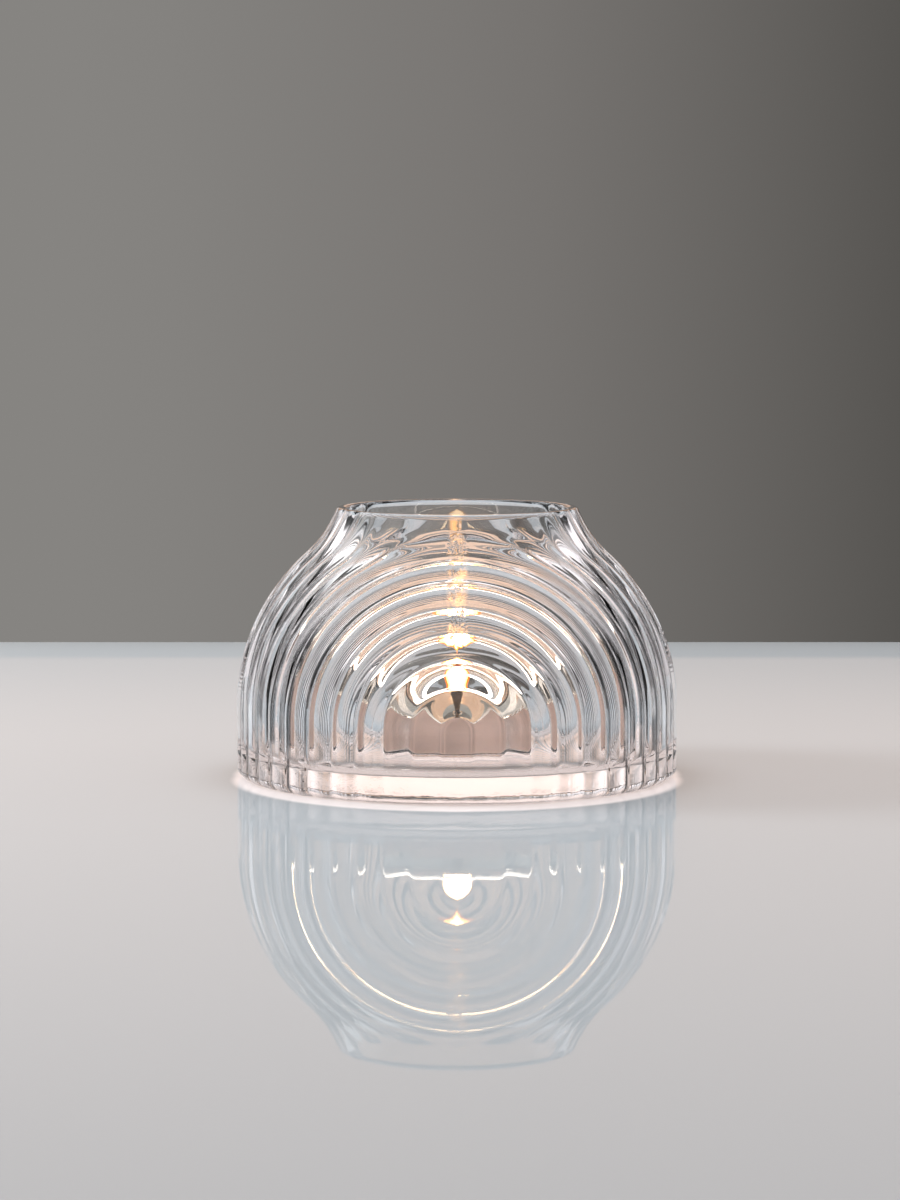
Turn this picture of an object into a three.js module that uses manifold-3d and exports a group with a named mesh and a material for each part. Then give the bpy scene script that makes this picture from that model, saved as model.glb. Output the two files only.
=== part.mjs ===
// Glass tealight holder: a heavy clear bowl reeded with nested arches, and the tealight that stands in it.
// Millimetres, +Z up, origin at the centre of the underside. The smallest arch faces -Y, the largest crosses X.
import * as THREE from 'three';
import { mergeVertices } from 'three/addons/utils/BufferGeometryUtils.js';
import Module from 'manifold-3d';

// Bowl, outside
const BODY_RADIUS = 55; // over the crests of the reeds
const SPRING_HEIGHT = 17.6; // where the upright reeds bend over into arches
const DOME_RISE = 52.4; // from the springing to the top of the dome, if it went on over the mouth
const FOOT_ROUNDING = 2.8;
const REED_COUNT = 48; // all the way round the plan
const REED_DEPTH = 0.8; // crest down to valley, on the flanks
const MIDDLE_REED_DEPTH = 0.32; // the same in the middle of the arches, where the reeds fade
const FADE_FROM_DEGREES = 8; // off the middle, where the reeds start to deepen
const FADE_TO_DEGREES = 35; // off the middle, where they have their full depth
const VALLEY_ROUNDING = 0.72; // at each side of a valley
const NECK_RADIUS = 38; // where the dome starts to sweep up to the rim
const NECK_POWER = 2.5; // how fast the sweep steepens

// Bowl, inside and rim
const WALL = 4.2; // crest of a reed to the smooth inside
const FLOOR_THICKNESS = 6;
const FLOOR_CORNER = 4;
const MOUTH_RADIUS = 27.6;
const RIM_WALL = 2.6;
const RIM_HEIGHT = 67.2;
const RIM_ROUNDING = 0.9;
const RIM_EDGE_DEGREES = 29; // above level, where the rounding of the rim meets the sweep of the neck

// Tealight
const CUP_BASE_RADIUS = 18.2;
const CUP_TOP_RADIUS = 18.6;
const CUP_HEIGHT = 16.5;
const CUP_WALL = 0.6;
const CUP_FLOOR = 0.7;
const LIP_OVERHANG = 0.4;
const LIP_HEIGHT = 1;
const WAX_DEPTH = 13.3; // from the floor of the cup to the surface of the wax
const WICK_RADIUS = 0.6;
const WICK_STANDS_PROUD = 3.8; // above the wax
const SUSTAINER_RADIUS = 7;
const SUSTAINER_SHEET = 0.3;
const SUSTAINER_NECK_HEIGHT = 4.5;
const SUSTAINER_NECK_WALL = 0.35;

// Clearances
const WAX_GAP = 0.3; // the wax shrinks from what it was poured round
const WICK_GAP = 0.1; // the wick in the neck of its sustainer

// Smoothness
const STEPS_PER_REED = 4;
const FLANK_STEPS = 7; // up an arch, from its springing to the neck
const NECK_STEPS = 4;
const CAP_STEPS = 1; // over the mouth, which is cut away
const ROUNDING_STEPS = 3; // round the foot, the rim and the corner of the floor
const INSIDE_STEPS = 14; // up the inside of the dome
const LATEST_NECK_DEGREES = 66; // up an arch that stays outside the neck
const LATEST_MOUTH_DEGREES = 84; // up an arch that stays outside the mouth
const LEAST_HALF_SPAN = 1; // of the smallest arch, which is a point
const SLOPE_STEP = 0.001; // radians between the two points that give a slope
const MERGE_DISTANCE = 1e-5;
const CAVITY_SIDES = 64;
const TEALIGHT_SIDES = 48;
const WICK_SIDES = 12;

const wasm = await Module();
wasm.setup();

// Profile points along an arc of a circle in the (radius, height) plane, both ends included.
function arc(centreRadius, centreHeight, radius, fromDegrees, toDegrees, steps) {
  const points = [];
  for (let i = 0; i <= steps; i++) {
    const angle = THREE.MathUtils.degToRad(fromDegrees + ((toDegrees - fromDegrees) * i) / steps);
    points.push(new THREE.Vector2(
      centreRadius + radius * Math.cos(angle),
      centreHeight + radius * Math.sin(angle),
    ));
  }
  return points;
}

// A profile of (radius, height) points, listed counter-clockwise, turned about the Z axis.
function revolve(points, sides) {
  const geometry = new THREE.LatheGeometry(points, sides);
  geometry.rotateX(Math.PI / 2);
  return geometry;
}

function toManifold(geometry) {
  const bare = geometry.clone();
  bare.deleteAttribute('normal');
  bare.deleteAttribute('uv');
  const merged = mergeVertices(bare, MERGE_DISTANCE);
  const positions = merged.getAttribute('position');
  const index = merged.getIndex().array;
  const triangles = [];
  for (let i = 0; i < index.length; i += 3) {
    const [a, b, c] = [index[i], index[i + 1], index[i + 2]];
    if (a !== b && b !== c && c !== a) triangles.push(a, b, c);
  }
  return new wasm.Manifold(new wasm.Mesh({
    numProp: 3,
    vertProperties: new Float32Array(positions.array),
    triVerts: new Uint32Array(triangles),
  }));
}

function toGeometry(manifold) {
  const { vertProperties, triVerts } = manifold.getMesh();
  const geometry = new THREE.BufferGeometry();
  geometry.setAttribute('position', new THREE.BufferAttribute(new Float32Array(vertProperties), 3));
  geometry.setIndex(new THREE.BufferAttribute(new Uint32Array(triVerts), 1));
  geometry.computeVertexNormals();
  return geometry;
}

function named(name, geometry, material) {
  const mesh = new THREE.Mesh(geometry, material);
  mesh.name = name;
  return mesh;
}

// Outside of the bowl

const REED_PITCH = (2 * Math.PI) / REED_COUNT;
const VALLEY_PLACE = 0.5; // of a pitch off the crest
const MOUTH_EDGE_RADIUS = MOUTH_RADIUS + RIM_WALL;

// How deep the reeds are at an angle from the front: they fade towards the middle of the arches.
function reedDepth(angle) {
  const offMiddle = THREE.MathUtils.radToDeg(Math.asin(Math.min(1, Math.abs(Math.sin(angle)))));
  const share = THREE.MathUtils.smoothstep(offMiddle, FADE_FROM_DEGREES, FADE_TO_DEGREES);
  return THREE.MathUtils.lerp(MIDDLE_REED_DEPTH, REED_DEPTH, share);
}

// Radius of the reeded circle at an angle from the front: convex reeds with rounded valleys, a crest in front.
function reededRadius(angle) {
  const place = Math.abs(angle / REED_PITCH - Math.round(angle / REED_PITCH));
  const rounding = VALLEY_ROUNDING / (BODY_RADIUS * REED_PITCH);
  const intoValley = Math.max(place - (VALLEY_PLACE - rounding), 0);
  const drop = place ** 2 - (VALLEY_PLACE / rounding) * intoValley ** 2;
  const fullDrop = VALLEY_PLACE * (VALLEY_PLACE - rounding);
  return BODY_RADIUS - (reedDepth(angle) * drop) / fullDrop;
}

// Height of the dome without its reeds and its neck.
function domeHeight(radius) {
  return SPRING_HEIGHT + DOME_RISE * Math.sqrt(1 - (radius / BODY_RADIUS) ** 2);
}

const rimEdge = arc(
  MOUTH_EDGE_RADIUS - RIM_ROUNDING, RIM_HEIGHT - RIM_ROUNDING, RIM_ROUNDING, 90, RIM_EDGE_DEGREES, ROUNDING_STEPS,
);
const rimFoot = rimEdge[rimEdge.length - 1];
const NECK_SWEEP = (rimFoot.y - domeHeight(rimFoot.x)) / (NECK_RADIUS - rimFoot.x) ** NECK_POWER;

// How far the neck lifts the dome, so that it sweeps up to the rim.
function neckLift(radius) {
  const reach = NECK_RADIUS - Math.max(radius, MOUTH_RADIUS);
  return NECK_SWEEP * Math.max(reach, 0) ** NECK_POWER;
}

// A point of an arch: the reeded circle turned about the level axis that runs from front to back.
function archPoint(angle, turn) {
  const radius = reededRadius(angle);
  const x = radius * Math.sin(angle) * Math.cos(turn);
  const y = -radius * Math.cos(angle);
  const z = SPRING_HEIGHT + (DOME_RISE / BODY_RADIUS) * radius * Math.sin(angle) * Math.sin(turn);
  return new THREE.Vector3(x, y, z + neckLift(Math.hypot(x, y)));
}

// The turns at which an arch is sampled, from +X over the top to -X, closer together on the neck.
function archTurns(angle) {
  const depth = BODY_RADIUS * Math.cos(angle);
  const halfSpan = Math.max(BODY_RADIUS * Math.sin(angle), LEAST_HALF_SPAN);
  const turnAt = (radius) => Math.acos(Math.min(1, Math.sqrt(Math.max(radius ** 2 - depth ** 2, 0)) / halfSpan));
  const neckTurn = Math.min(turnAt(NECK_RADIUS), THREE.MathUtils.degToRad(LATEST_NECK_DEGREES));
  const mouthTurn = Math.min(turnAt(MOUTH_RADIUS), THREE.MathUtils.degToRad(LATEST_MOUTH_DEGREES));
  const half = [];
  for (let i = 0; i < FLANK_STEPS; i++) half.push((neckTurn * i) / FLANK_STEPS);
  for (let i = 0; i < NECK_STEPS; i++) half.push(neckTurn + ((mouthTurn - neckTurn) * i) / NECK_STEPS);
  for (let i = 0; i < CAP_STEPS; i++) half.push(mouthTurn + ((Math.PI / 2 - mouthTurn) * i) / CAP_STEPS);
  const mirrored = half.map((turn) => Math.PI - turn).reverse();
  return [...half, Math.PI / 2, ...mirrored];
}

// Two triangles between neighbouring corners, counter-clockwise from outside.
function addQuad(corners, a, b, c, d) {
  corners.push(a, b, c, a, c, d);
}

// The dome of arches on an upright reeded drum, closed underneath and not yet hollow.
function reededBody() {
  const corners = [];
  const archCount = (REED_COUNT * STEPS_PER_REED) / 2;
  const step = Math.PI / archCount;
  const arches = [];
  for (let i = 0; i <= archCount; i++) {
    const angle = i * step;
    arches.push(archTurns(angle).map((turn) => archPoint(angle, turn)));
  }
  for (let i = 0; i < archCount; i++) {
    const [near, far] = [arches[i], arches[i + 1]];
    for (let j = 0; j + 1 < near.length; j++) addQuad(corners, near[j], far[j], far[j + 1], near[j + 1]);
  }
  // The drum: the reeded circle drawn in round the foot, then straight up to the springing.
  const levels = arc(-FOOT_ROUNDING, FOOT_ROUNDING, FOOT_ROUNDING, -90, 0, ROUNDING_STEPS);
  levels.push(new THREE.Vector2(0, SPRING_HEIGHT));
  const sides = 2 * archCount;
  const rings = levels.map((level) => {
    const ring = [];
    for (let i = 0; i < sides; i++) {
      const angle = i * step;
      const radius = reededRadius(angle) + level.x;
      ring.push(new THREE.Vector3(radius * Math.sin(angle), -radius * Math.cos(angle), level.y));
    }
    return ring;
  });
  const underside = new THREE.Vector3(0, 0, 0);
  for (let i = 0; i < sides; i++) {
    const next = (i + 1) % sides;
    for (let k = 0; k + 1 < rings.length; k++) {
      addQuad(corners, rings[k][i], rings[k][next], rings[k + 1][next], rings[k + 1][i]);
    }
    corners.push(underside, rings[0][next], rings[0][i]);
  }
  return new THREE.BufferGeometry().setFromPoints(corners);
}

// Inside of the bowl

// The outside over the crests, at an angle up from the springing.
function outsideAt(rise) {
  const radius = BODY_RADIUS * Math.cos(rise);
  return new THREE.Vector2(radius, domeHeight(radius) + neckLift(radius));
}

// The inside of the dome, parallel to the outside, with a wall that thins steadily up to the rim.
function insideLine() {
  const top = Math.acos(MOUTH_RADIUS / BODY_RADIUS);
  const points = [];
  for (let i = 0; i <= INSIDE_STEPS; i++) {
    const rise = (top * i) / INSIDE_STEPS;
    const here = outsideAt(rise);
    const along = outsideAt(rise + SLOPE_STEP).sub(here).normalize();
    const thinned = THREE.MathUtils.inverseLerp(BODY_RADIUS, MOUTH_EDGE_RADIUS, here.x);
    const wall = THREE.MathUtils.lerp(WALL, RIM_WALL, Math.min(thinned, 1));
    const point = new THREE.Vector2(here.x - along.y * wall, here.y + along.x * wall);
    if (point.x > MOUTH_RADIUS && point.y < RIM_HEIGHT - RIM_ROUNDING) points.push(point);
  }
  return points;
}

// What is hollowed out: the room over the floor, the mouth, and all that stands above the rounded rim.
function cavity() {
  const clear = BODY_RADIUS + RIM_HEIGHT;
  const dome = insideLine();
  const profile = [
    new THREE.Vector2(0, FLOOR_THICKNESS),
    ...arc(
      dome[0].x - FLOOR_CORNER, FLOOR_THICKNESS + FLOOR_CORNER, FLOOR_CORNER, -90, 0, ROUNDING_STEPS,
    ),
    ...dome,
    ...arc(MOUTH_RADIUS + RIM_ROUNDING, RIM_HEIGHT - RIM_ROUNDING, RIM_ROUNDING, 180, 90, ROUNDING_STEPS),
    ...rimEdge,
    new THREE.Vector2(clear, rimFoot.y),
    new THREE.Vector2(clear, clear),
    new THREE.Vector2(0, clear),
  ];
  return revolve(profile, CAVITY_SIDES);
}

function glassBowl() {
  const glass = new THREE.MeshStandardMaterial({
    color: '#e8ecee', roughness: 0.04, metalness: 0, transparent: true, opacity: 0.35,
  });
  const bowl = toManifold(reededBody()).subtract(toManifold(cavity()));
  return named('glass_bowl', toGeometry(bowl), glass);
}

// Tealight

const cupBase = FLOOR_THICKNESS;
const cupInside = cupBase + CUP_FLOOR;
const cupTop = cupBase + CUP_HEIGHT;
const waxTop = cupInside + WAX_DEPTH;
const sustainerTop = cupInside + SUSTAINER_NECK_HEIGHT;
const sustainerBore = WICK_RADIUS + WICK_GAP;

// Outer radius of the tapered cup at a height.
function cupRadius(height) {
  return CUP_BASE_RADIUS + ((CUP_TOP_RADIUS - CUP_BASE_RADIUS) * (height - cupBase)) / CUP_HEIGHT;
}

function tealightCup() {
  const plastic = new THREE.MeshStandardMaterial({
    color: '#e6e4e0', roughness: 0.15, metalness: 0, transparent: true, opacity: 0.4,
  });
  const lipRadius = CUP_TOP_RADIUS + LIP_OVERHANG;
  const profile = [
    new THREE.Vector2(0, cupBase),
    new THREE.Vector2(CUP_BASE_RADIUS, cupBase),
    new THREE.Vector2(cupRadius(cupTop - LIP_HEIGHT), cupTop - LIP_HEIGHT),
    new THREE.Vector2(lipRadius, cupTop - LIP_HEIGHT),
    new THREE.Vector2(lipRadius, cupTop),
    new THREE.Vector2(CUP_TOP_RADIUS - CUP_WALL, cupTop),
    new THREE.Vector2(cupRadius(cupInside) - CUP_WALL, cupInside),
    new THREE.Vector2(0, cupInside),
  ];
  return named('tealight_cup', revolve(profile, TEALIGHT_SIDES), plastic);
}

// The wax stands on the floor of the cup, hollow underneath where it was poured round the sustainer.
function wax() {
  const paraffin = new THREE.MeshStandardMaterial({ color: '#d9cfc4', roughness: 0.4, metalness: 0 });
  const recessRadius = SUSTAINER_RADIUS + WAX_GAP;
  const recessTop = cupInside + SUSTAINER_SHEET + WAX_GAP;
  const neckRadius = sustainerBore + SUSTAINER_NECK_WALL + WAX_GAP;
  const wickRadius = WICK_RADIUS + WAX_GAP;
  const sideRadius = (height) => cupRadius(height) - CUP_WALL - WAX_GAP;
  const profile = [
    new THREE.Vector2(recessRadius, cupInside),
    new THREE.Vector2(sideRadius(cupInside), cupInside),
    new THREE.Vector2(sideRadius(waxTop), waxTop),
    new THREE.Vector2(wickRadius, waxTop),
    new THREE.Vector2(wickRadius, sustainerTop + WAX_GAP),
    new THREE.Vector2(neckRadius, sustainerTop + WAX_GAP),
    new THREE.Vector2(neckRadius, recessTop),
    new THREE.Vector2(recessRadius, recessTop),
    new THREE.Vector2(recessRadius, cupInside),
  ];
  return named('wax', revolve(profile, TEALIGHT_SIDES), paraffin);
}

// The pressed tin foot that keeps the wick upright: a flat disc with a neck crimped round the wick.
function wickSustainer() {
  const tin = new THREE.MeshStandardMaterial({ color: '#b9b6b0', roughness: 0.3, metalness: 1 });
  const neckRadius = sustainerBore + SUSTAINER_NECK_WALL;
  const profile = [
    new THREE.Vector2(sustainerBore, cupInside),
    new THREE.Vector2(SUSTAINER_RADIUS, cupInside),
    new THREE.Vector2(SUSTAINER_RADIUS, cupInside + SUSTAINER_SHEET),
    new THREE.Vector2(neckRadius, cupInside + SUSTAINER_SHEET),
    new THREE.Vector2(neckRadius, sustainerTop),
    new THREE.Vector2(sustainerBore, sustainerTop),
    new THREE.Vector2(sustainerBore, cupInside),
  ];
  return named('wick_sustainer', revolve(profile, WICK_SIDES * 2), tin);
}

function wick() {
  const cotton = new THREE.MeshStandardMaterial({ color: '#3a302a', roughness: 0.9, metalness: 0 });
  const top = waxTop + WICK_STANDS_PROUD;
  const profile = [
    new THREE.Vector2(0, cupInside),
    new THREE.Vector2(WICK_RADIUS, cupInside),
    new THREE.Vector2(WICK_RADIUS, top - WICK_RADIUS),
    new THREE.Vector2(WICK_RADIUS / 2, top),
    new THREE.Vector2(0, top),
  ];
  return named('wick', revolve(profile, WICK_SIDES), cotton);
}

const tealight = new THREE.Group();
tealight.add(tealightCup(), wax(), wickSustainer(), wick());

const holder = new THREE.Group();
holder.add(glassBowl(), tealight);

export default holder;
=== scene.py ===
"""Glass tealight holder.

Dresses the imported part: a reeded bowl of clear glass, and in it a tealight with its clear cup, its wax
molten on top, its wick and the flame. Lengths are in metres, in the part's own frame: +Z up, -Y the front.
"""

import math

import bpy
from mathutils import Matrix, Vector


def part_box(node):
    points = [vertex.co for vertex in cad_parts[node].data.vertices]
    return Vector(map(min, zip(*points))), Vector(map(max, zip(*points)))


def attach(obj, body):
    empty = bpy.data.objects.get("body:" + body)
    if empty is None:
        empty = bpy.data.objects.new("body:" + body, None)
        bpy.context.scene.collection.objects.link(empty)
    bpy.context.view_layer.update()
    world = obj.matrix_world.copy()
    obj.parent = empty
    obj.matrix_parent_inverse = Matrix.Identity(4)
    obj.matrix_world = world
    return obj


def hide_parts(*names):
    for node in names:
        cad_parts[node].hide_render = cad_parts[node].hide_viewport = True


bl_info = {
    "name": "Glass Tealight Holder",
    "version": (1, 0, 0),
    "blender": (4, 5, 0),
    "location": "View3D > Sidebar > Tealight",
    "description": "Makes a reeded glass bowl with a burning tealight in it",
    "category": "Add Mesh",
}

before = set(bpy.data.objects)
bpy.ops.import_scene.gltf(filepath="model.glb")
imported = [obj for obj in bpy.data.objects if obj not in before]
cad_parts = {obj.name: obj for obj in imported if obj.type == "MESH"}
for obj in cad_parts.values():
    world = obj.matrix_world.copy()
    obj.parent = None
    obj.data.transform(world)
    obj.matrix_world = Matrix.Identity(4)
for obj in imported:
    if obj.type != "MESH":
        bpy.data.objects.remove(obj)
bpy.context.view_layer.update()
BOWL_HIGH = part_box("glass_bowl")[1]
CUP_LOW, CUP_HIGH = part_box("tealight_cup")
WAX_LOW, WAX_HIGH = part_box("wax")
WICK_LOW, WICK_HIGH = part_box("wick")
SUSTAINER_LOW, SUSTAINER_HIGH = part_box("wick_sustainer")

MM = 0.001
UNLIT = "#0c0b0b"
FULL_TURN = 2 * math.pi
HALF_TURN = math.pi
QUARTER_TURN = math.pi / 2

# How finely the pieces are made
STEPS_PER_REED = 16
ARCH_STEPS = 160
INSIDE_SIDES = 192
INSIDE_STEPS = 56
DRUM_STEPS = 4
ROUNDING_STEPS = 8
CORNER_STEPS = 5
SMALL_CORNER_STEPS = 4
SMALLEST_CORNER_STEPS = 3
CUP_SIDES = 128
WICK_SIDES = 20
FLAME_SIDES = 48
FLAME_STEPS = 24
SLOPE_STEP = 1e-4  # of an angle, between the two points that give a slope
SAME_PLACE = 1e-7  # corners nearer than this are one
COLOUR_A, COLOUR_B = 6, 7  # inputs of a Mix node that blends colours


class BowlSizes(bpy.types.PropertyGroup):
    """Sizes of the glass bowl."""

    radius: bpy.props.FloatProperty(
        name="Radius", description="Over the crests of the reeds", default=BOWL_HIGH.x, unit="LENGTH")
    height: bpy.props.FloatProperty(
        name="Height", description="From the underside to the top of the rim", default=BOWL_HIGH.z,
        unit="LENGTH")
    spring_height: bpy.props.FloatProperty(
        name="Springing", description="Height at which the reeds bend over into arches", default=17.6 * MM,
        unit="LENGTH")
    dome_rise: bpy.props.FloatProperty(
        name="Dome rise", description="From the springing to the top of the dome, if it were closed",
        default=52.4 * MM, unit="LENGTH")
    foot_rounding: bpy.props.FloatProperty(
        name="Foot rounding", description="Radius of the rounded foot", default=2.8 * MM, unit="LENGTH")
    reeds: bpy.props.IntProperty(
        name="Reeds", description="All the way round", default=48, min=8)
    reed_depth: bpy.props.FloatProperty(
        name="Reed depth", description="Crest down to valley on the flanks", default=0.8 * MM, unit="LENGTH")
    middle_reed_depth: bpy.props.FloatProperty(
        name="Middle reed depth", description="Crest down to valley in the middle of the arches",
        default=0.32 * MM, unit="LENGTH")
    fade_from: bpy.props.FloatProperty(
        name="Fade from", description="Off the middle, where the reeds start to deepen",
        default=math.radians(8), subtype="ANGLE")
    fade_to: bpy.props.FloatProperty(
        name="Fade to", description="Off the middle, where the reeds have their full depth",
        default=math.radians(35), subtype="ANGLE")
    valley_rounding: bpy.props.FloatProperty(
        name="Valley rounding", description="At each side of a valley", default=0.72 * MM, unit="LENGTH")
    neck_radius: bpy.props.FloatProperty(
        name="Neck radius", description="Where the dome starts to sweep up to the rim", default=38 * MM,
        unit="LENGTH")
    neck_power: bpy.props.FloatProperty(
        name="Neck power", description="How fast the sweep of the neck steepens", default=2.5)
    wall: bpy.props.FloatProperty(
        name="Wall", description="Crest of a reed to the smooth inside", default=4.2 * MM, unit="LENGTH")
    floor_thickness: bpy.props.FloatProperty(
        name="Floor", description="Thickness of the glass under the tealight", default=CUP_LOW.z,
        unit="LENGTH")
    floor_corner: bpy.props.FloatProperty(
        name="Floor corner", description="Radius inside, where the floor meets the wall", default=4 * MM,
        unit="LENGTH")
    mouth_radius: bpy.props.FloatProperty(
        name="Mouth radius", description="Radius of the opening", default=27.6 * MM, unit="LENGTH")
    rim_wall: bpy.props.FloatProperty(
        name="Rim wall", description="Thickness of the rim", default=2.6 * MM, unit="LENGTH")
    rim_rounding: bpy.props.FloatProperty(
        name="Rim rounding", description="Radius of the fire-polished edges", default=0.9 * MM, unit="LENGTH")
    rim_edge: bpy.props.FloatProperty(
        name="Rim edge", description="Above level, where the rim's rounding meets the neck",
        default=math.radians(29), subtype="ANGLE")
    window_from: bpy.props.FloatProperty(
        name="Window from", description="Height from which the reeds fade, at the front and back of the neck",
        default=57 * MM, unit="LENGTH")
    window_to: bpy.props.FloatProperty(
        name="Window to", description="Height from which the front and back of the neck are smooth",
        default=62 * MM, unit="LENGTH")
    window_side: bpy.props.FloatProperty(
        name="Window side", description="Round the neck from the front, where the smooth window ends",
        default=math.radians(38), subtype="ANGLE")
    window_fade: bpy.props.FloatProperty(
        name="Window fade", description="Round the neck, from the window's end to reeds of full depth",
        default=math.radians(12), subtype="ANGLE")


class TealightSizes(bpy.types.PropertyGroup):
    """Sizes of the tealight."""

    cup_wall: bpy.props.FloatProperty(
        name="Cup wall", description="Thickness of the clear cup", default=0.6 * MM, unit="LENGTH")
    cup_floor: bpy.props.FloatProperty(
        name="Cup floor", description="Thickness of the cup's floor", default=0.7 * MM, unit="LENGTH")
    cup_base_radius: bpy.props.FloatProperty(
        name="Cup base", description="Radius of the cup at its base", default=18.2 * MM, unit="LENGTH")
    lip_height: bpy.props.FloatProperty(
        name="Lip", description="Height of the cup's rolled lip", default=1 * MM, unit="LENGTH")
    melt_depth: bpy.props.FloatProperty(
        name="Melt depth", description="Depth of the molten wax on top", default=3.4 * MM, unit="LENGTH")
    meniscus: bpy.props.FloatProperty(
        name="Meniscus", description="How far the molten wax climbs the cup and the wick", default=0.9 * MM,
        unit="LENGTH")
    flame_height: bpy.props.FloatProperty(
        name="Flame height", description="From its root on the wick to its tip", default=15 * MM,
        unit="LENGTH")
    flame_width: bpy.props.FloatProperty(
        name="Flame width", description="Across the widest part", default=7.2 * MM, unit="LENGTH")


class Colours(bpy.types.PropertyGroup):
    """Colours of the materials and the stage, as sRGB hex values."""

    glass: bpy.props.StringProperty(
        name="Glass", description="Clear soda-lime glass", default="#fbfcfd")
    # The glass's painted shade: dark lines in the valleys of the reeds, in place of the dark room seen
    # through them
    glass_painted_shade: bpy.props.StringProperty(
        name="Glass lines", description="Dark lines in the valleys of the reeds", default="#2a2a2b")
    wax: bpy.props.StringProperty(
        name="Wax", description="Solid paraffin wax", default="#cdbaae")
    wax_bloom: bpy.props.StringProperty(
        name="Wax bloom", description="Paler clouds in the wax", default="#e3d5cb")
    melt: bpy.props.StringProperty(
        name="Melt", description="Molten paraffin wax", default="#fffaf0")
    tin: bpy.props.StringProperty(
        name="Tin", description="Tin plate of the sustainer", default="#c4c1ba")
    char: bpy.props.StringProperty(
        name="Char", description="Burnt tip of the wick", default="#40332b")
    cotton: bpy.props.StringProperty(
        name="Cotton", description="Waxed cotton of the wick", default="#8b7a63")
    floor: bpy.props.StringProperty(
        name="Floor", description="Plain pale floor", default="#acb4ba")


def eased(value, start, end):
    """Share by which a number has gone from a start to an end, eased at both."""
    share = min(max((value - start) / (end - start), 0), 1)
    return share * share * (3 - 2 * share)


def off_middle(*degrees):
    """How far out reeds are at these angles, from 0 in the middle of the arches to 1 at the sides."""
    return tuple(math.sin(math.radians(angle)) for angle in degrees)


def srgb(text):
    """Linear colour of an sRGB hex value, by the standard's curve."""
    channels = [int(text[i:i + 2], 16) / 255 for i in (1, 3, 5)]
    return tuple(c / 12.92 if c <= 0.04045 else ((c + 0.055) / 1.055) ** 2.4 for c in channels) + (1,)


def add(tree, kind, inputs=None, **settings):
    """Adds a node with its settings. An input is a value, an output of another node, or another node, which
    is linked by the first of its outputs that is in use."""
    made = tree.nodes.new(kind)
    for name, value in settings.items():
        setattr(made, name, value)
    for name, value in (inputs or {}).items():
        if isinstance(value, bpy.types.Node):
            value = [output for output in value.outputs if output.enabled][0]
        if isinstance(value, bpy.types.NodeSocket):
            tree.links.new(value, made.inputs[name])
        else:
            made.inputs[name].default_value = value
    return made


def work_out(tree, values, rows):
    """Works out more of a tree's named values. A row is a name, an operation and the two things it works on,
    each a value or a name. EASED gives the share by which a value has gone from a start to an end."""
    for name, operation, first, second in rows:
        first, second = values.get(first, first), values.get(second, second)
        if operation == "EASED":
            start, end = second
            values[name] = add(tree, "ShaderNodeMapRange", {
                "Value": first, "From Min": start, "From Max": end}, interpolation_type="SMOOTHSTEP")
        else:
            values[name] = add(tree, "ShaderNodeMath", {0: first, 1: second}, operation=operation)
    return values


def fill_ramp(ramp, stops):
    """Gives a colour ramp its stops, as pairs of place and sRGB hex value."""
    elements = ramp.color_ramp.elements
    while len(elements) > 1:
        elements.remove(elements[0])
    elements[0].position, elements[0].color = stops[0][0], srgb(stops[0][1])
    for place, colour in stops[1:]:
        elements.new(place).color = srgb(colour)


def new_material(name):
    """A material with an empty node tree, the tree, and in it the place on the piece."""
    material = bpy.data.materials.new(name)
    material.use_nodes = True
    tree = material.node_tree
    tree.nodes.clear()
    return material, tree, add(tree, "ShaderNodeTexCoord").outputs["Object"]


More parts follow.
